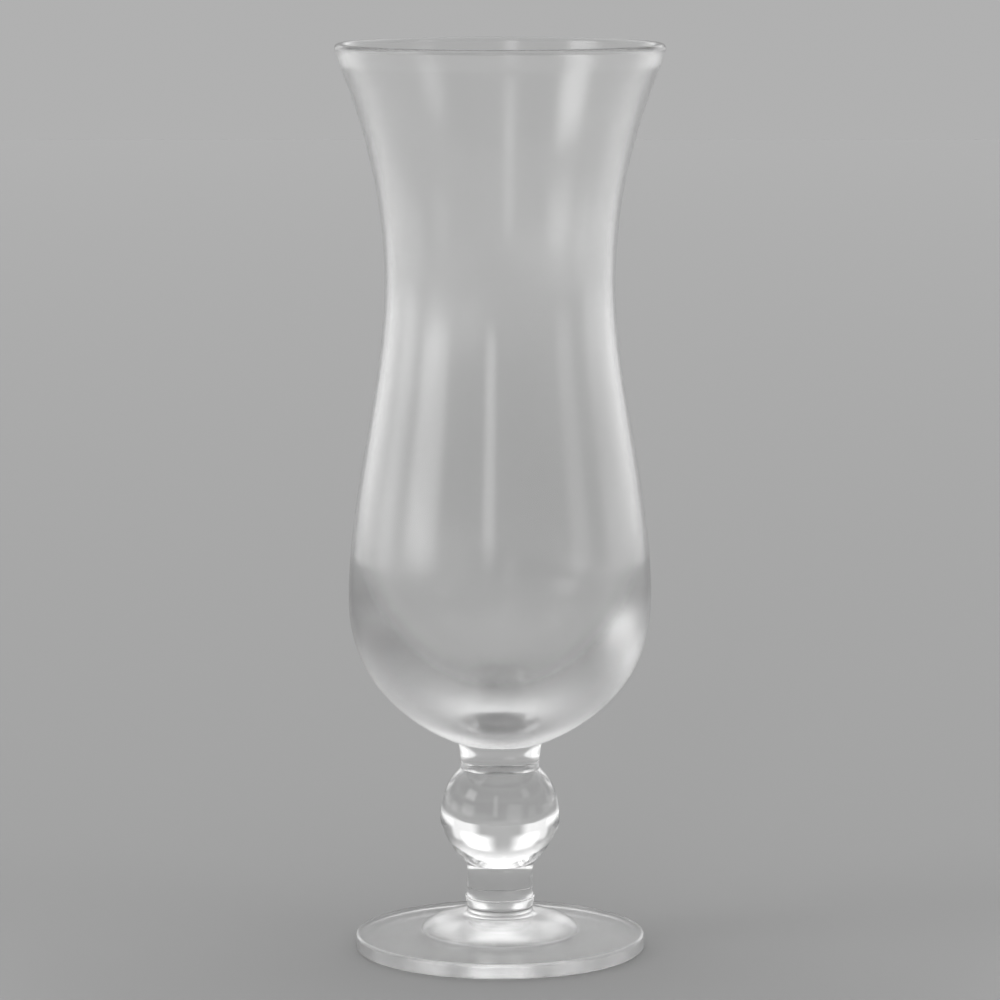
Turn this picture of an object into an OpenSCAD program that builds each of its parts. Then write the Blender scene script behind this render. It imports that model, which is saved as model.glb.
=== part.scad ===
// Hurricane glass: a tall waisted bowl on a knopped stem and a round foot.
// Sizes are in millimetres. The glass stands on the plane z = 0, centred on the z axis.

/* [Foot] */
// Outer radius of the foot
foot_r = 33; // [30:0.5:37]
// Height of the foot plate at its outer edge
foot_edge_h = 3.4; // [3:0.1:4]
// Rounding along the top of the foot's edge
foot_edge_round = 0.8; // [0.4:0.1:1.2]
// Bevel along the bottom of the foot's edge
foot_edge_bevel = 0.3; // [0.2:0.1:0.5]
// Radius of the hub, the raised dome in the middle of the foot
hub_r = 18; // [16:0.5:20]
// Rise of the plate from its edge in to the hub
plate_rise = 0.5; // [0.3:0.1:0.8]
// Rise of the hub's dome above the plate
hub_rise = 3.7; // [3:0.1:4.2]
// Height of the foot at its top face
foot_h = 9.6; // [9:0.1:10.5]
// Reach of the cove between the hub and the top face
hub_cove = 1.2; // [0.8:0.1:1.6]
// Width of the flat ring that the glass rests on
rest_ring_w = 2; // [1.5:0.1:3]
// Depth of the hollow under the foot at its centre
under_depth = 1; // [0.6:0.1:1.4]

/* [Stem] */
// Height of the lower merese, the thin ring on the foot
lower_merese_h = 2.4; // [2:0.1:3]
// Radius of the lower merese at its top
lower_merese_r = 7.95; // [7.8:0.05:8.3]
// Radius of the lower merese where it sits on the foot
lower_merese_seat_r = 7.4; // [7:0.1:7.7]
// Rounding along the top of the lower merese
merese_round = 0.25; // [0.15:0.05:0.3]
// Height of the plain neck under the knop
neck_h = 7.6; // [6:0.1:9]
// Radius of the plain neck
neck_r = 7.6; // [7.3:0.05:7.65]
// Radius of the neck where it flares into the knop
neck_flare_r = 7.75; // [7.7:0.05:8]
// Height of the knop with its short collar
knop_h = 23.8; // [22:0.2:26]
// Height of the straight collar at the top of the knop
knop_collar_h = 1.8; // [1:0.1:2.6]
// Largest radius of the knop
knop_r = 13.6; // [12.5:0.1:14.5]
// Height of the knop's widest point above its bottom
knop_wide_at = 9.75; // [8:0.05:12]
// Fullness of the knop's upper half, where 2 is a plain ellipse
knop_upper_power = 2.34; // [1.8:0.02:2.8]
// Fullness of the knop's lower half, where 1 is a straight cone
knop_lower_power = 1.44; // [1.2:0.02:2]
// Height of the upper merese, the collar under the bowl
upper_merese_h = 4.1; // [3.4:0.1:5]
// Radius of the upper merese on the knop
upper_merese_r = 9; // [8.5:0.1:9.3]
// Radius of the upper merese where it flares out to the bowl
bowl_seat_r = 9.45; // [9.35:0.05:10]

/* [Bowl] */
// Height of the bowl, from the upper merese to the top of the rim
bowl_h = 158.5; // [150:0.5:166]
// Outer radius at the rim
rim_r = 37.1; // [36:0.1:40]
// Thickness of the rounded rim
rim_t = 2.1; // [1.8:0.1:2.4]
// Height of the steeper lip zone under the rim
lip_h = 5; // [3:0.5:8]
// Spread of the lip zone, the gain in radius from its bottom to the rim
lip_spread = 1.2; // [0.8:0.1:1.6]
// Outer radius at the waist
waist_r = 26; // [24:0.1:28]
// Height of the waist above the bottom of the bowl
waist_at = 105.3; // [98:0.1:112]
// Outer radius at the belly
belly_r = 34.3; // [32:0.1:36]
// Height of the belly above the bottom of the bowl
belly_at = 33.5; // [30:0.1:38]
// Thickness of the wall
wall_t = 1.9; // [1.6:0.1:2.4]
// Thickness of the glass at the bottom of the cavity
floor_t = 9.5; // [7:0.5:12]
// Height above the bottom of the bowl where the even wall ends and the cavity's rounded bottom begins
cavity_at = 42.5; // [39:0.5:48]

/* [Curves] */
// Slope of the wall at the rim, outwards per unit of height
rim_slope = 0.3; // [0.2:0.01:0.4]
// Slope of the wall at the bottom of the lip zone
lip_slope = 0.4; // [0.3:0.01:0.45]
// Slope of the lower merese and the neck at their flared ends
flare_slope = 0.25; // [0.1:0.05:0.3]
// Fullness of the bowl's bottom seen as depth, where 2 is a plain ellipse
base_depth_power = 2.25; // [2:0.05:2.6]
// Fullness of the bowl's bottom seen as width, where 2 is a plain ellipse
base_width_power = 1.6; // [1.5:0.02:2]
// Fullness of the cavity's bottom, where 2 is a plain ellipse
cavity_power = 2; // [1.8:0.05:2.3]

/* [Look] */
// Red, green and blue of the clear glass
glass_color = [0.84, 0.86, 0.86];

/* [Hidden] */

// Heights where one piece ends and the next begins
lower_merese_z = foot_h;
neck_z = lower_merese_z + lower_merese_h;
knop_z = neck_z + neck_h;
upper_merese_z = knop_z + knop_h;
bowl_z = upper_merese_z + upper_merese_h;
glass_h = bowl_z + bowl_h;

// Points along each kind of curve
wall_steps = 16;
dome_steps = 14;
flare_steps = 6;
round_steps = 4;
rim_steps = 4;
$fn = 96;

// A station is [radius, height, slope], the slope being the change of radius per unit of height.
// Radius at share t of the way from station a to station b, as a cubic that meets both slopes.
function between(a, b, t) =
    a.x * (2 * t ^ 3 - 3 * t ^ 2 + 1)
    + a.z * (b.y - a.y) * (t ^ 3 - 2 * t ^ 2 + t)
    + b.x * (3 * t ^ 2 - 2 * t ^ 3)
    + b.z * (b.y - a.y) * (t ^ 3 - t ^ 2);

// Slope at share t of that curve
function slope_between(a, b, t) =
    (a.x - b.x) * (6 * t ^ 2 - 6 * t) / (b.y - a.y)
    + a.z * (3 * t ^ 2 - 4 * t + 1)
    + b.z * (3 * t ^ 2 - 2 * t);

// Points from station a up to, and with, station b
function wall(a, b, steps) =
    [for (i = [0 : steps]) [between(a, b, i / steps), a.y + (b.y - a.y) * i / steps]];

// A rounded end that narrows from full_r to end_r over the height h, negative for downwards.
// The powers set how full it is in depth and in width.
function dome(full_r, end_r, h, depth_power, width_power, steps) =
    let (
        last = acos((end_r / full_r) ^ (width_power / 2)),
        reach = h / sin(last) ^ (2 / depth_power)
    )
    [for (i = [0 : steps])
        let (turn = last * i / steps)
        [full_r * cos(turn) ^ (2 / width_power), reach * sin(turn) ^ (2 / depth_power)]];

// Points on an ellipse about a centre, from one angle to another
function arc(centre, across, up, from, to, steps) =
    [for (i = [0 : steps])
        let (turn = from + (to - from) * i / steps)
        centre + [across * cos(turn), up * sin(turn)]];

function shifted(points, by) = [for (p = points) p + by];

function backwards(points) = [for (i = [len(points) - 1 : -1 : 0]) points[i]];

// Turned glass: an outline of [radius, height] points spun about the z axis
module turned(outline) {
    color(glass_color)
        rotate_extrude()
            polygon(outline);
}

module foot() {
    rest_in_r = foot_r - foot_edge_bevel - rest_ring_w;
    hub_z = foot_edge_h + plate_rise;
    cove_r = lower_merese_seat_r + hub_cove;
    dome_top_z = hub_z + hub_rise;
    under = [for (i = [0 : dome_steps])
        let (t = i / dome_steps)
        [rest_in_r * t, under_depth * (1 - t ^ 2)]];
    edge = [
        [foot_r - foot_edge_bevel, 0],
        [foot_r, foot_edge_bevel]
    ];
    edge_top = arc(
        [foot_r - foot_edge_round, foot_edge_h - foot_edge_round],
        foot_edge_round, foot_edge_round, 0, 90, round_steps
    );
    hub = arc([cove_r, hub_z], hub_r - cove_r, hub_rise, 0, 90, dome_steps);
    cove = arc([cove_r, foot_h], hub_cove, foot_h - dome_top_z, 270, 180, flare_steps);
    turned(concat(
        under,
        edge,
        edge_top,
        hub,
        [for (i = [1 : flare_steps]) cove[i]],
        [[0, foot_h]]
    ));
}

module lower_merese() {
    side = wall(
        [lower_merese_seat_r, lower_merese_z, flare_slope],
        [lower_merese_r, neck_z - merese_round, 0],
        flare_steps
    );
    round_off = arc(
        [lower_merese_r - merese_round, neck_z - merese_round],
        merese_round, merese_round, 0, 90, round_steps
    );
    turned(concat(
        [[0, lower_merese_z]],
        side,
        [for (i = [1 : round_steps]) round_off[i]],
        [[0, neck_z]]
    ));
}

module stem_neck() {
    turned(concat(
        [[0, neck_z]],
        wall([neck_r, neck_z, 0], [neck_flare_r, knop_z, flare_slope], flare_steps),
        [[0, knop_z]]
    ));
}

module knop() {
    wide_z = knop_z + knop_wide_at;
    collar_z = upper_merese_z - knop_collar_h;
    low = dome(
        knop_r, neck_flare_r, knop_z - wide_z, knop_lower_power, knop_lower_power, dome_steps
    );
    high = dome(
        knop_r, upper_merese_r, collar_z - wide_z,
        knop_upper_power, knop_upper_power, dome_steps
    );
    turned(concat(
        [[0, knop_z]],
        shifted(backwards(low), [0, wide_z]),
        [for (i = [1 : dome_steps]) high[i] + [0, wide_z]],
        [[upper_merese_r, upper_merese_z], [0, upper_merese_z]]
    ));
}

module upper_merese() {
    turned(concat(
        [[0, upper_merese_z]],
        wall(
            [upper_merese_r, upper_merese_z, 0], [bowl_seat_r, bowl_z, 0], flare_steps
        ),
        [[0, bowl_z]]
    ));
}

module bowl() {
    belly_z = bowl_z + belly_at;
    lean = atan(rim_slope);
    rim_centre = [rim_r - rim_t / 2, glass_h - rim_t / 2];
    // The rim is half a circle that meets the outer wall at rim_out and the inner one at rim_in
    rim_out = rim_centre + rim_t / 2 * [cos(lean), -sin(lean)];
    rim_in = rim_centre - rim_t / 2 * [cos(lean), -sin(lean)];
    rim_in_lip = wall_t * sqrt(1 + lip_slope ^ 2);
    belly = [belly_r, belly_z, 0];
    waist = [waist_r, bowl_z + waist_at, 0];
    lip = [rim_r - lip_spread, glass_h - lip_h, lip_slope];
    outside = concat(
        wall(belly, waist, wall_steps),
        [for (p = wall(waist, lip, wall_steps)) if (p.y > waist.y) p],
        [for (p = wall(lip, [rim_out.x, rim_out.y, rim_slope], round_steps)) if (p.y > lip.y) p]
    );
    belly_in = belly - [wall_t, 0, 0];
    waist_in = waist - [wall_t, 0, 0];
    lip_in = lip - [rim_in_lip, 0, 0];
    // The even wall keeps to the outer curve and ends where the cavity's bottom begins
    cavity_share = (cavity_at - belly_at) / (waist_at - belly_at);
    wall_end = [
        between(belly_in, waist_in, cavity_share),
        bowl_z + cavity_at,
        slope_between(belly_in, waist_in, cavity_share)
    ];
    inside = concat(
        wall(wall_end, waist_in, wall_steps),
        [for (p = wall(waist_in, lip_in, wall_steps)) if (p.y > waist.y) p],
        [for (p = wall(lip_in, [rim_in.x, rim_in.y, rim_slope], round_steps)) if (p.y > lip.y) p]
    );
    base = dome(
        belly_r, bowl_seat_r, -belly_at, base_depth_power, base_width_power, dome_steps
    );
    cavity = dome(
        wall_end.x, 0, floor_t - cavity_at, cavity_power, cavity_power, dome_steps
    );
    rim_outer = arc(rim_centre, rim_t / 2, rim_t / 2, 0, 90, rim_steps);
    rim_inner = arc(rim_centre, rim_t / 2, rim_t / 2, 90, 180 - lean, rim_steps);
    turned(concat(
        [[0, bowl_z]],
        [for (i = [dome_steps : -1 : 1]) base[i] + [0, belly_z]],
        outside,
        rim_outer,
        [for (i = [1 : rim_steps - 1]) rim_inner[i]],
        backwards(inside),
        [for (i = [1 : dome_steps]) cavity[i] + [0, wall_end.y]]
    ));
}

foot();
lower_merese();
stem_neck();
knop();
upper_merese();
bowl();
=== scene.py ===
import math
import bpy
import numpy as np
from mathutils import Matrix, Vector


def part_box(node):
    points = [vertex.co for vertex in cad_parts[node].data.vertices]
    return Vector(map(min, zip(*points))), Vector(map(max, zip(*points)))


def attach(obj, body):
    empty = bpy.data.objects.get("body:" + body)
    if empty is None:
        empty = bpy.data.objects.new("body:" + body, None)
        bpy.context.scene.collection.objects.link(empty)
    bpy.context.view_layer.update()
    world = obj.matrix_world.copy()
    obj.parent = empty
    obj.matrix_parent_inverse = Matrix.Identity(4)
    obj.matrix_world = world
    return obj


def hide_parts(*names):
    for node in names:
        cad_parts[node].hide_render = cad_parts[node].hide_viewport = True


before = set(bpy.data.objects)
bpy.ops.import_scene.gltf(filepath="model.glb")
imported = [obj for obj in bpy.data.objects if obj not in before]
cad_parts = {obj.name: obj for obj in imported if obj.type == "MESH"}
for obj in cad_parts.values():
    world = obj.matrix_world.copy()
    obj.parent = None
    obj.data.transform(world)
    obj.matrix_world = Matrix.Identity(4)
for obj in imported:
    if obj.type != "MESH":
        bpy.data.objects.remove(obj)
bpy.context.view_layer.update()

mm = 0.001
print("frame loaded:", ", ".join(sorted(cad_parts)))


# camera: a long lens a little above the rim
cameraView = {
    "distance": 1.056,      # from the glass's axis, towards -Y
    "height": 0.24945,      # above the surface that the glass stands on
    "pitchDown": 7.892,     # degrees below level
    "lens": 169.7,          # mm
    "sensor": 36.0,         # mm wide
    "nearest": 0.01,        # what is nearer than this isn't drawn
    "farthest": 40.0,
}


def makeCamera(view):
    data = bpy.data.cameras.new("photoCamera")
    data.lens = view["lens"]
    data.sensor_width = view["sensor"]
    data.clip_start = view["nearest"]
    data.clip_end = view["farthest"]
    camera = bpy.data.objects.new("photoCamera", data)
    camera.location = (0.0, -view["distance"], view["height"])
    camera.rotation_euler = (math.radians(90.0 - view["pitchDown"]), 0.0, 0.0)
    bpy.context.scene.collection.objects.link(camera)
    bpy.context.scene.camera = camera


makeCamera(cameraView)
print("camera placed")


class Graph:
    # short calls for building a node tree

    def __init__(self, tree):
        self.nodes, self.links = tree.nodes, tree.links

    def add(self, kind, **settings):
        node = self.nodes.new(kind)
        for name, value in settings.items():
            setattr(node, name, value)
        return node

    def join(self, output, socket):
        self.links.new(output, socket)

    def sums(self, operation, *values):
        # a Math node on numbers or outputs
        node = self.add("ShaderNodeMath", operation=operation)
        for socket, value in zip(node.inputs, values):
            if isinstance(value, (int, float)):
                socket.default_value = value
            else:
                self.join(value, socket)
        return node.outputs["Value"]

    def fade(self, value, fromValue, toValue, fromLevel, toLevel):
        # a smooth step from one level to another
        node = self.add("ShaderNodeMapRange", interpolation_type="SMOOTHSTEP")
        for name, setting in (("From Min", fromValue), ("From Max", toValue),
                              ("To Min", fromLevel), ("To Max", toLevel)):
            node.inputs[name].default_value = setting
        self.join(value, node.inputs["Value"])
        return node.outputs["Result"]


# An outline is an array of (radius, height) rows. A station is (radius, height, slope),
# the slope being the change of radius per unit of height. A curve has one point more than
# it has steps.
turning = {
    "samePoint": 1e-7,      # points nearer than this are one point
    "sameHeight": 1e-6,     # faces within this of a joint's height belong to the joint
    "sharpAngle": 32.0,     # edges that turn more than this many degrees stay sharp
}


def wallCurve(a, b, steps):
    # cubic in height from station a to station b that meets both radii and both slopes
    t = np.linspace(0.0, 1.0, steps + 1)
    rise = b[1] - a[1]
    radius = (a[0] * (2 * t**3 - 3 * t**2 + 1) + a[2] * rise * (t**3 - 2 * t**2 + t)
              + b[0] * (3 * t**2 - 2 * t**3) + b[2] * rise * (t**3 - t**2))
    return np.column_stack([radius, a[1] + rise * t])


def domeCurve(fullRadius, endRadius, height, depthPower, widthPower, steps, baseHeight):
    # superellipse quarter: radius = full * cos(u)^(2/width), height = reach * sin(u)^(2/depth),
    # stopped where the radius is endRadius, and reach chosen so that the height there is right
    last = math.acos((endRadius / fullRadius) ** (widthPower / 2))
    reach = height / math.sin(last) ** (2 / depthPower)
    u = np.linspace(0.0, last, steps + 1)
    radius = fullRadius * np.clip(np.cos(u), 0.0, 1.0) ** (2 / widthPower)
    return np.column_stack([radius, baseHeight + reach * np.sin(u) ** (2 / depthPower)])


def arcCurve(centre, across, up, fromDegrees, toDegrees, steps):
    # ellipse arc about a centre: radius = centre + across * cos(u), height = centre + up * sin(u)
    u = np.radians(np.linspace(fromDegrees, toDegrees, steps + 1))
    return np.column_stack([centre[0] + across * np.cos(u), centre[1] + up * np.sin(u)])


def joined(*curves):
    # one outline from several curves, without the points that two of them share
    points = np.vstack(curves)
    apart = np.linalg.norm(np.diff(points, axis=0), axis=1) > turning["samePoint"]
    return points[np.concatenate([[True], apart])]


def turnedPiece(name, outline, turns, jointHeights=()):
    # surface of revolution: (r cos(v), r sin(v), h) for each outline point and each of the
    # turns values of v. The outline starts and ends on the axis, where it closes in one point.
    inner = outline[1:-1]
    rings = len(inner)
    v = np.linspace(0.0, 2 * np.pi, turns, endpoint=False)
    grid = np.empty((rings, turns, 3))
    grid[:, :, 0] = inner[:, :1] * np.cos(v)
    grid[:, :, 1] = inner[:, :1] * np.sin(v)
    grid[:, :, 2] = inner[:, 1:]
    poles = np.array([[0.0, 0.0, outline[0, 1]], [0.0, 0.0, outline[-1, 1]]])
    vertices = np.vstack([grid.reshape(-1, 3), poles])

    ring = np.arange(rings - 1)[:, None] * turns
    here = np.arange(turns)[None, :]
    there = (here + 1) % turns
    quads = np.stack([ring + here, ring + there, ring + turns + there, ring + turns + here],
                     axis=-1).reshape(-1, 4)
    here, there = here[0], there[0]
    bottom = np.column_stack([np.full(turns, rings * turns), there, here])
    topRing = (rings - 1) * turns
    top = np.column_stack([topRing + here, topRing + there, np.full(turns, rings * turns + 1)])

    mesh = bpy.data.meshes.new(name)
    corners = np.concatenate([quads.ravel(), bottom.ravel(), top.ravel()])
    sizes = np.concatenate([np.full(len(quads), 4), np.full(2 * turns, 3)])
    mesh.vertices.add(len(vertices))
    mesh.vertices.foreach_set("co", vertices.ravel())
    mesh.loops.add(len(corners))
    mesh.loops.foreach_set("vertex_index", corners)
    mesh.polygons.add(len(sizes))
    mesh.polygons.foreach_set("loop_start", np.concatenate([[0], np.cumsum(sizes)[:-1]]))
    mesh.polygons.foreach_set("loop_total", sizes)
    mesh.update(calc_edges=True)
    mesh.validate()
    mesh.polygons.foreach_set("use_smooth", np.ones(len(sizes), bool))
    mesh.set_sharp_from_angle(angle=math.radians(turning["sharpAngle"]))

    # the discs where this piece is fused to the next get the second material slot
    centres = np.empty(len(mesh.polygons) * 3)
    mesh.polygons.foreach_get("center", centres)
    heights = centres.reshape(-1, 3)[:, 2]
    slots = np.zeros(len(mesh.polygons), int)
    for height in jointHeights:
        slots[np.abs(heights - height) < turning["sameHeight"]] = 1
    mesh.polygons.foreach_set("material_index", slots)

    piece = bpy.data.objects.new(name, mesh)
    bpy.context.scene.collection.objects.link(piece)
    return piece


# glass: clear, with the faint haze of a well-used surface
glassLook = {
    "colour": (0.996, 0.997, 0.996),
    "ior": 1.5,
    "haze": 0.03,           # roughness varies by this much
    "hazeScale": 22.0,
    "hazeDetail": 3.0,
    "hazeFrom": 0.35,       # the part of the noise that the haze follows
    "hazeTo": 0.75,
    "wave": 0.02,           # strength of the hand-worked unevenness
    "waveDetail": 1.0,
    "waveDepth": 1.0 * mm,
}
blownFinish = {             # the bowl
    "waveScale": 14.0,
    "softness": 0.16,       # roughness of the thick bottom
    "softTo": 80.0 * mm,    # up to this height
    "clearFrom": 105.0 * mm,
    "clearShare": 0.80,     # what is left of the roughness from there on
}
pressedFinish = {           # the foot and the stem
    "waveScale": 60.0,
    "softness": 0.20,
    "softTo": 9.0 * mm,
    "clearFrom": 14.0 * mm,
    "clearShare": 0.35,
}


def makeGlass(name, look, finish):
    # roughness = (softness + haze * fade(noise)) * fade(height), the last one falling from 1
    # to clearShare; bump = wave * noise
    material = bpy.data.materials.new(name)
    material.use_nodes = True
    graph = Graph(material.node_tree)
    shader = graph.nodes["Principled BSDF"]
    shader.inputs["Base Color"].default_value = (*look["colour"], 1.0)
    shader.inputs["IOR"].default_value = look["ior"]
    shader.inputs["Transmission Weight"].default_value = 1.0
    where = graph.add("ShaderNodeTexCoord").outputs["Object"]

    noise = graph.add("ShaderNodeTexNoise")
    noise.inputs["Scale"].default_value = look["hazeScale"]
    noise.inputs["Detail"].default_value = look["hazeDetail"]
    graph.join(where, noise.inputs["Vector"])
    rough = graph.fade(noise.outputs["Fac"], look["hazeFrom"], look["hazeTo"],
                       finish["softness"], finish["softness"] + look["haze"])
    split = graph.add("ShaderNodeSeparateXYZ")
    graph.join(where, split.inputs["Vector"])
    share = graph.fade(split.outputs["Z"], finish["softTo"], finish["clearFrom"],
                       1.0, finish["clearShare"])
    graph.join(graph.sums("MULTIPLY", rough, share), shader.inputs["Roughness"])

    wave = graph.add("ShaderNodeTexNoise")
    wave.inputs["Scale"].default_value = finish["waveScale"]
    wave.inputs["Detail"].default_value = look["waveDetail"]
    graph.join(where, wave.inputs["Vector"])
    bump = graph.add("ShaderNodeBump")
    bump.inputs["Strength"].default_value = look["wave"]
    bump.inputs["Distance"].default_value = look["waveDepth"]
    graph.join(wave.outputs["Fac"], bump.inputs["Height"])
    graph.join(bump.outputs["Normal"], shader.inputs["Normal"])
    return material


def makeFusedJoint():
    # glass welded to glass has no surface there, so light goes straight through
    material = bpy.data.materials.new("fusedJoint")
    material.use_nodes = True
    nodes, links = material.node_tree.nodes, material.node_tree.links
    nodes.clear()
    clear = nodes.new("ShaderNodeBsdfTransparent")
    output = nodes.new("ShaderNodeOutputMaterial")
    links.new(clear.outputs["BSDF"], output.inputs["Surface"])
    return material


blownGlass = makeGlass("blownGlass", glassLook, blownFinish)
pressedGlass = makeGlass("pressedGlass", glassLook, pressedFinish)
fusedJoint = makeFusedJoint()
print("glass mixed")


def addPiece(piece, node, material):
    piece.data.materials.append(material)
    piece.data.materials.append(fusedJoint)
    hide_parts(node)
    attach(piece, "root")
    print("made", piece.name, len(piece.data.polygons), "faces")


def heightsOf(node):
    low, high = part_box(node)
    return low.z, high.z


def radiusOf(node):
    # the largest circle about the axis that fits the node's box
    low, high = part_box(node)
    return min(-low.x, -low.y, high.x, high.y)


# foot: a round plate with a raised hub, hollow beneath
footShape = {
    "edgeHeight": 3.4 * mm,
    "edgeRound": 0.8 * mm,
    "edgeBevel": 0.3 * mm,
    "hubRadius": 18.0 * mm,
    "plateRise": 0.5 * mm,      # from the edge to the hub
    "hubRise": 3.7 * mm,
    "cove": 1.2 * mm,
    "restRing": 2.0 * mm,       # the flat ring that the glass stands on
    "underDepth": 1.0 * mm,
    "topRadius": 7.4 * mm,      # also the lower merese's seat
    "turns": 256,
    "steps": {"under": 39, "edge": 12, "plate": 23, "hub": 48, "cove": 16},
}


def makeFoot(shape):
    bottom, top = heightsOf("foot")
    radius = radiusOf("foot")
    steps = shape["steps"]
    hubHeight = shape["edgeHeight"] + shape["plateRise"]
    coveRadius = shape["topRadius"] + shape["cove"]
    domeTop = hubHeight + shape["hubRise"]
    restInner = radius - shape["edgeBevel"] - shape["restRing"]
    # the hollow underneath is a paraboloid: height = depth * (1 - (r / R)^2)
    share = np.linspace(0.0, 1.0, steps["under"] + 1)
    under = np.column_stack([restInner * share, shape["underDepth"] * (1 - share**2)])
    edge = np.array([[radius - shape["edgeBevel"], bottom], [radius, shape["edgeBevel"]]])
    edgeTop = arcCurve((radius - shape["edgeRound"], shape["edgeHeight"] - shape["edgeRound"]),
                       shape["edgeRound"], shape["edgeRound"], 0, 90, steps["edge"])
    share = np.linspace(0.0, 1.0, steps["plate"] + 1)[:, None]
    plate = (1 - share) * edgeTop[-1] + share * np.array([shape["hubRadius"], hubHeight])
    hub = arcCurve((coveRadius, hubHeight), shape["hubRadius"] - coveRadius, shape["hubRise"],
                   0, 90, steps["hub"])
    cove = arcCurve((coveRadius, top), shape["cove"], top - domeTop, 270, 180, steps["cove"])
    outline = joined(under, edge, edgeTop, plate, hub, cove, [[0.0, top]])
    addPiece(turnedPiece("footGlass", outline, shape["turns"], [top]), "foot", pressedGlass)


# stem: a merese, the neck, the knop and a second merese
stemShape = {
    "mereseRound": 0.25 * mm,
    "flareSlope": 0.25,
    "neckRadius": 7.6 * mm,
    "neckFlare": 7.75 * mm,     # the neck's radius where it meets the knop
    "knopWideAt": 9.75 * mm,    # above the knop's bottom
    "knopCollar": 1.8 * mm,
    "knopUpperPower": 2.34,     # 2 is an ellipse, more is squarer, less is more pointed
    "knopLowerPower": 1.44,
    "upperMereseFoot": 9.0 * mm,
    "turns": 192,
    "steps": {"lowerMerese": 20, "mereseRound": 8, "neck": 30,
              "knopLower": 70, "knopUpper": 60, "upperMerese": 24},
}


def makeLowerMerese(shape):
    low, high = heightsOf("lower_merese")
    radius = radiusOf("lower_merese")
    corner = shape["mereseRound"]
    side = wallCurve((footShape["topRadius"], low, shape["flareSlope"]),
                     (radius, high - corner, 0.0), shape["steps"]["lowerMerese"])
    roundOff = arcCurve((radius - corner, high - corner), corner, corner, 0, 90,
                        shape["steps"]["mereseRound"])
    outline = joined([[0.0, low]], side, roundOff,
                     [[shape["neckRadius"], high]], [[0.0, high]])
    addPiece(turnedPiece("lowerMereseGlass", outline, shape["turns"], [low, high]),
             "lower_merese", pressedGlass)


def makeStemNeck(shape):
    low, high = heightsOf("stem_neck")
    side = wallCurve((shape["neckRadius"], low, 0.0),
                     (shape["neckFlare"], high, shape["flareSlope"]), shape["steps"]["neck"])
    outline = joined([[0.0, low]], side, [[0.0, high]])
    addPiece(turnedPiece("stemNeckGlass", outline, shape["turns"], [low, high]),
             "stem_neck", pressedGlass)


def makeKnop(shape):
    low, high = heightsOf("knop")
    radius = radiusOf("knop")
    wide = low + shape["knopWideAt"]
    collar = high - shape["knopCollar"]
    lower = domeCurve(radius, shape["neckFlare"], low - wide, shape["knopLowerPower"],
                      shape["knopLowerPower"], shape["steps"]["knopLower"], wide)
    upper = domeCurve(radius, shape["upperMereseFoot"], collar - wide, shape["knopUpperPower"],
                      shape["knopUpperPower"], shape["steps"]["knopUpper"], wide)
    straight = [[shape["upperMereseFoot"], high]]
    outline = joined([[0.0, low]], lower[::-1], upper, straight, [[0.0, high]])
    addPiece(turnedPiece("knopGlass", outline, shape["turns"], [low, high]),
             "knop", pressedGlass)


def makeUpperMerese(shape):
    low, high = heightsOf("upper_merese")
    side = wallCurve((shape["upperMereseFoot"], low, 0.0),
                     (radiusOf("upper_merese"), high, 0.0), shape["steps"]["upperMerese"])
    outline = joined([[0.0, low]], side, [[0.0, high]])
    addPiece(turnedPiece("upperMereseGlass", outline, shape["turns"], [low, high]),
             "upper_merese", pressedGlass)


# bowl: a rounded base with a thick bottom, belly, waist, flared mouth with a lip and a rim
bowlShape = {
    "rimThickness": 2.1 * mm,
    "lipHeight": 5.0 * mm,
    "lipSpread": 1.2 * mm,
    "waistRadius": 26.0 * mm,
    "waistAt": 105.3 * mm,      # this and the next heights are above the bowl's bottom
    "bellyRadius": 34.3 * mm,
    "bellyAt": 33.5 * mm,
    "wall": 1.9 * mm,
    "floor": 9.5 * mm,
    "cavityAt": 42.5 * mm,      # where the wall ends and the cavity's rounded bottom begins
    "rimSlope": 0.3,
    "lipSlope": 0.4,
    "baseDepthPower": 2.25,
    "baseWidthPower": 1.6,
    "cavityPower": 2.0,
    "turns": 240,
    "steps": {"belly": 72, "flare": 48, "lip": 10, "rimLean": 3, "rim": 9,
              "base": 56, "cavity": 72},
}


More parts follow.
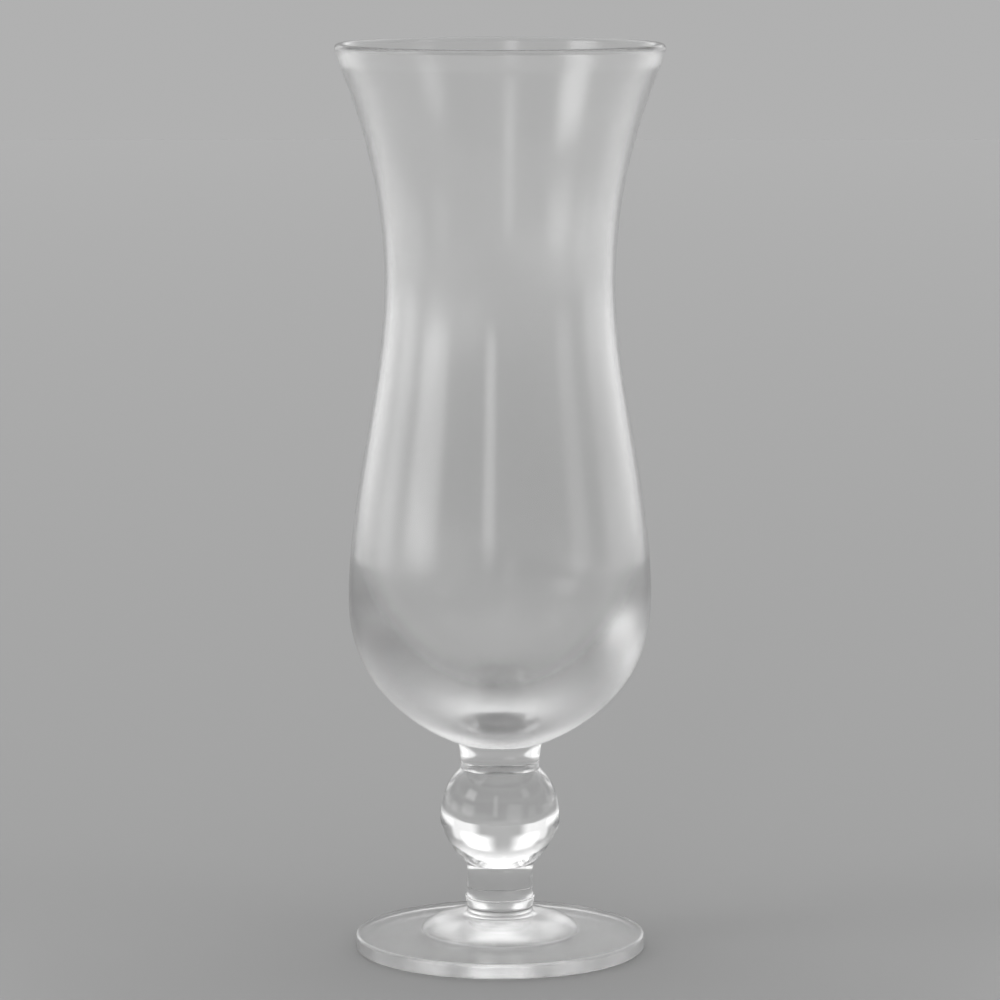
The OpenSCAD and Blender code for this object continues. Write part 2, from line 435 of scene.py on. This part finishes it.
def makeBowl(shape):
    low, high = heightsOf("bowl")
    radius = radiusOf("bowl")
    steps = shape["steps"]
    belly = np.array([shape["bellyRadius"], low + shape["bellyAt"], 0.0])
    waist = np.array([shape["waistRadius"], low + shape["waistAt"], 0.0])
    lip = np.array([radius - shape["lipSpread"], high - shape["lipHeight"], shape["lipSlope"]])
    half = shape["rimThickness"] / 2
    lean = math.atan(shape["rimSlope"])
    centre = np.array([radius - half, high - half])
    across = half * np.array([math.cos(lean), -math.sin(lean)])
    rimOut = (*(centre + across), shape["rimSlope"])
    rimIn = (*(centre - across), shape["rimSlope"])
    outside = joined(wallCurve(belly, waist, steps["belly"]),
                     wallCurve(waist, lip, steps["flare"]),
                     wallCurve(lip, rimOut, steps["lip"]))
    # the wall is measured square to the surface, so it is wider across a slope
    wall = np.array([shape["wall"], 0.0, 0.0])
    innerLip = lip - wall * math.hypot(1, shape["lipSlope"])
    innerBelly = wallCurve(belly - wall, waist - wall, steps["belly"])
    spring = low + shape["cavityAt"]
    springRadius = np.interp(spring, innerBelly[:, 1], innerBelly[:, 0])
    inside = joined(innerBelly[innerBelly[:, 1] > spring],
                    wallCurve(waist - wall, innerLip, steps["flare"]),
                    wallCurve(innerLip, rimIn, steps["lip"]))
    leanDegrees = math.degrees(lean)
    rim = joined(arcCurve(centre, half, half, -leanDegrees, 0, steps["rimLean"]),
                 arcCurve(centre, half, half, 0, 90, steps["rim"]),
                 arcCurve(centre, half, half, 90, 180 - leanDegrees, steps["rim"]))
    base = domeCurve(belly[0], radiusOf("upper_merese"), -shape["bellyAt"],
                     shape["baseDepthPower"], shape["baseWidthPower"], steps["base"], belly[1])
    cavity = domeCurve(springRadius, 0.0, shape["floor"] - shape["cavityAt"],
                       shape["cavityPower"], shape["cavityPower"], steps["cavity"], spring)
    outline = joined([[0.0, low]], base[::-1], outside, rim, inside[::-1], cavity)
    outline[-1, 0] = 0.0
    addPiece(turnedPiece("bowlGlass", outline, shape["turns"], [low]), "bowl", blownGlass)


makeFoot(footShape)
makeLowerMerese(stemShape)
makeStemNeck(stemShape)
makeKnop(stemShape)
makeUpperMerese(stemShape)
makeBowl(bowlShape)


# stage: one flat sheet of paper with painted light on it: grey behind the glass, paler further
# back as a painted fall-off, a painted pool of caustic light under the foot, and pale at the
# sides and in front, where only the glass sees it
stageLook = {
    "near": 0.355,          # grey at the glass, where the painted light fall-off is darkest
    "far": 0.462,           # and at the far end, rising with the square root of the distance: painted light fall-off
    "under": 0.18,          # painted caustic light: paler by this much under the foot
    "paintedCausticFrom": 0.024,     # out to here, in metres from the axis
    "paintedCausticTo": 0.036,       # and not at all from here on
    "pale": 0.90,           # painted light at the sides and in front, for the glass to reflect and refract
    "paleFrom": 0.10,       # where that begins, from a wedge that opens away from the camera
    "paleTo": 0.40,
    "dimFrom": 0.60,        # in front it turns grey again from here
    "dimTo": 1.20,          # to here
    "dim": 0.50,
    "wedge": 0.40,          # how much the wedge opens for each metre
    "halfWidth": 1.60,
    "frontEnd": -2.0,
    "backEnd": 3.0,
    "drop": 0.05 * mm,      # the paper lies this far under the foot, so the faces don't meet
}


def makePaper(look):
    # the paper's colour is painted light: a painted fall-off, painted caustic light under the
    # foot, and painted light at the sides and in front
    # grey = near + (far - near) * sqrt(distance / far end) + under * fade(distance), mixed to
    # pale by fade(greater of |x| - wedge * y and -y), with pale turning to dim far in front
    material = bpy.data.materials.new("greyPaper")
    material.use_nodes = True
    graph = Graph(material.node_tree)
    shader = graph.nodes["Principled BSDF"]
    shader.inputs["Roughness"].default_value = 1.0
    shader.inputs["Specular IOR Level"].default_value = 0.0
    where = graph.add("ShaderNodeTexCoord").outputs["Object"]
    length = graph.add("ShaderNodeVectorMath", operation="LENGTH")
    graph.join(where, length.inputs[0])
    split = graph.add("ShaderNodeSeparateXYZ")
    graph.join(where, split.inputs["Vector"])
    # painted light fall-off: the grey rises with the distance from the glass
    away = graph.sums("SQRT", graph.sums("DIVIDE", length.outputs["Value"], look["backEnd"]))
    grey = graph.sums("MULTIPLY_ADD", away, look["far"] - look["near"], look["near"])
    # painted caustic light: a paler disc under the foot, standing in for the light the glass
    # focuses there
    under = graph.fade(length.outputs["Value"], look["paintedCausticFrom"], look["paintedCausticTo"],
                       look["under"], 0.0)
    grey = graph.sums("ADD", grey, under)
    # painted light: the paper turns pale at the sides and in front, where only the glass sees it,
    # and dim again far in front
    across = graph.sums("ABSOLUTE", split.outputs["X"])
    aside = graph.sums("MULTIPLY_ADD", split.outputs["Y"], -look["wedge"], across)
    front = graph.sums("MULTIPLY", split.outputs["Y"], -1.0)
    share = graph.fade(graph.sums("MAXIMUM", aside, front),
                       look["paleFrom"], look["paleTo"], 0.0, 1.0)
    pale = graph.fade(front, look["dimFrom"], look["dimTo"], look["pale"], look["dim"])
    paler = graph.sums("MULTIPLY", share, graph.sums("SUBTRACT", pale, grey))
    graph.join(graph.sums("ADD", grey, paler), shader.inputs["Base Color"])
    return material


def makeStage(look):
    corners = [(x, y, -look["drop"]) for x, y in (
        (-look["halfWidth"], look["frontEnd"]), (look["halfWidth"], look["frontEnd"]),
        (look["halfWidth"], look["backEnd"]), (-look["halfWidth"], look["backEnd"]))]
    mesh = bpy.data.meshes.new("paper")
    mesh.from_pydata(corners, [], [(0, 1, 2, 3)])
    mesh.materials.append(makePaper(look))
    floor = bpy.data.objects.new("paper", mesh)
    bpy.context.scene.collection.objects.link(floor)


makeStage(stageLook)
print("stage made")


# light: a dim studio around the camera, a wide soft light overhead that comes lower behind,
# and soft boxes. Angles are in degrees: azimuth from the camera's side round to the
# photograph's right, elevation above level. Every shape fades out over its edge.
studioLight = {
    "horizon": 0.26,        # around the camera, level with the glass
    "horizonTop": 9.0,      # elevation where the horizon has turned into front
    "front": 0.04,          # above that, around the camera
    "back": 0.438,          # behind the glass
    "turnFrom": 70.0,       # azimuth where front begins to turn into back
    "turnTo": 150.0,
    "overhead": 1.41,
    "lowestFront": 30.0,    # elevation where the overhead light begins, in front
    "highestFront": 70.0,   # and where it has its full level
    "lowestBack": 14.0,     # the same behind
    "highestBack": 44.0,
    "softboxes": [
        # a low pair at the sides, and two pairs behind them that rise towards the back
        {"azimuth": -115.0, "elevation": -4.0, "halfWidth": 18.0, "halfHeight": 6.0,
         "softWidth": 9.0, "softHeight": 9.0, "strength": 0.90},
        {"azimuth": 115.0, "elevation": -4.0, "halfWidth": 18.0, "halfHeight": 6.0,
         "softWidth": 9.0, "softHeight": 9.0, "strength": 0.90},
        {"azimuth": -150.0, "elevation": 7.0, "halfWidth": 9.0, "halfHeight": 8.0,
         "softWidth": 9.0, "softHeight": 6.0, "strength": 0.55},
        {"azimuth": 150.0, "elevation": 7.0, "halfWidth": 9.0, "halfHeight": 8.0,
         "softWidth": 9.0, "softHeight": 6.0, "strength": 0.55},
        {"azimuth": -160.0, "elevation": 16.0, "halfWidth": 5.0, "halfHeight": 4.0,
         "softWidth": 10.0, "softHeight": 6.0, "strength": 0.65},
        {"azimuth": 162.0, "elevation": 16.0, "halfWidth": 5.0, "halfHeight": 4.0,
         "softWidth": 12.0, "softHeight": 6.0, "strength": 0.90},
        # a dim one low at the left
        {"azimuth": -45.0, "elevation": -1.0, "halfWidth": 14.0, "halfHeight": 3.0,
         "softWidth": 26.0, "softHeight": 7.0, "strength": 0.65},
        # two at the left, one above the other, and one high at the right
        {"azimuth": -66.0, "elevation": 7.0, "halfWidth": 9.0, "halfHeight": 4.0,
         "softWidth": 10.0, "softHeight": 5.0, "strength": 1.80},
        {"azimuth": -69.0, "elevation": 29.0, "halfWidth": 9.0, "halfHeight": 5.0,
         "softWidth": 7.0, "softHeight": 5.0, "strength": 3.30},
        {"azimuth": 63.0, "elevation": 34.0, "halfWidth": 6.0, "halfHeight": 5.0,
         "softWidth": 7.0, "softHeight": 5.0, "strength": 1.50},
        # a low one at each side, and a thin upright one beside the camera
        {"azimuth": -85.0, "elevation": 2.0, "halfWidth": 20.0, "halfHeight": 3.0,
         "softWidth": 8.0, "softHeight": 6.0, "strength": 0.80},
        {"azimuth": 66.0, "elevation": 5.0, "halfWidth": 6.0, "halfHeight": 4.0,
         "softWidth": 5.0, "softHeight": 5.0, "strength": 0.75},
        {"azimuth": -9.0, "elevation": 20.0, "halfWidth": 2.0, "halfHeight": 15.0,
         "softWidth": 5.0, "softHeight": 4.0, "strength": 1.80},
    ],
}


def makeWorld(light):
    # level = room + (overhead - room) * fade(elevation) + the sum over the soft boxes of
    # strength * fade(azimuth) * fade(elevation). room goes from front to back by
    # fade(azimuth), and front from horizon to its own level by fade(elevation)
    world = bpy.data.worlds.new("studio")
    bpy.context.scene.world = world
    world.use_nodes = True
    graph = Graph(world.node_tree)
    background = graph.nodes["Background"]
    background.inputs["Color"].default_value = (1.0, 1.0, 1.0, 1.0)
    split = graph.add("ShaderNodeSeparateXYZ")
    graph.join(graph.add("ShaderNodeTexCoord").outputs["Generated"], split.inputs["Vector"])
    x, y, z = (split.outputs[axis] for axis in "XYZ")
    azimuth = graph.sums("DEGREES", graph.sums("ARCTAN2", x, graph.sums("MULTIPLY", y, -1.0)))
    elevation = graph.sums("DEGREES", graph.sums("ARCSINE", z))

    turned = graph.fade(graph.sums("ABSOLUTE", azimuth),
                        light["turnFrom"], light["turnTo"], 0.0, 1.0)
    front = graph.fade(elevation, 0.0, light["horizonTop"],
                       light["horizon"], light["front"])
    room = graph.sums("MULTIPLY_ADD", turned,
                      graph.sums("SUBTRACT", light["back"], front), front)
    lowest = graph.sums("MULTIPLY_ADD", turned, light["lowestBack"] - light["lowestFront"],
                        light["lowestFront"])
    highest = graph.sums("MULTIPLY_ADD", turned, light["highestBack"] - light["highestFront"],
                         light["highestFront"])
    share = graph.sums("DIVIDE", graph.sums("SUBTRACT", elevation, lowest),
                       graph.sums("SUBTRACT", highest, lowest))
    above = graph.fade(share, 0.0, 1.0, 0.0, 1.0)
    level = graph.sums("MULTIPLY_ADD", above,
                       graph.sums("SUBTRACT", light["overhead"], room), room)
    for box in light["softboxes"]:
        across = graph.sums("ABSOLUTE", graph.sums("SUBTRACT", azimuth, box["azimuth"]))
        up = graph.sums("ABSOLUTE", graph.sums("SUBTRACT", elevation, box["elevation"]))
        wide = graph.fade(across, box["halfWidth"], box["halfWidth"] + box["softWidth"], 1.0, 0.0)
        tall = graph.fade(up, box["halfHeight"], box["halfHeight"] + box["softHeight"], 1.0, 0.0)
        glow = graph.sums("MULTIPLY", graph.sums("MULTIPLY", wide, tall), box["strength"])
        level = graph.sums("ADD", level, glow)
    graph.join(level, background.inputs["Strength"])


makeWorld(studioLight)
print("light made")

# clear glass behind clear glass needs many bounces
bounces = {"all": 32, "transmission": 32, "glossy": 16, "transparent": 32}

scene = bpy.context.scene
scene.view_settings.view_transform = "Standard"
scene.cycles.max_bounces = bounces["all"]
scene.cycles.transmission_bounces = bounces["transmission"]
scene.cycles.glossy_bounces = bounces["glossy"]
scene.cycles.transparent_max_bounces = bounces["transparent"]
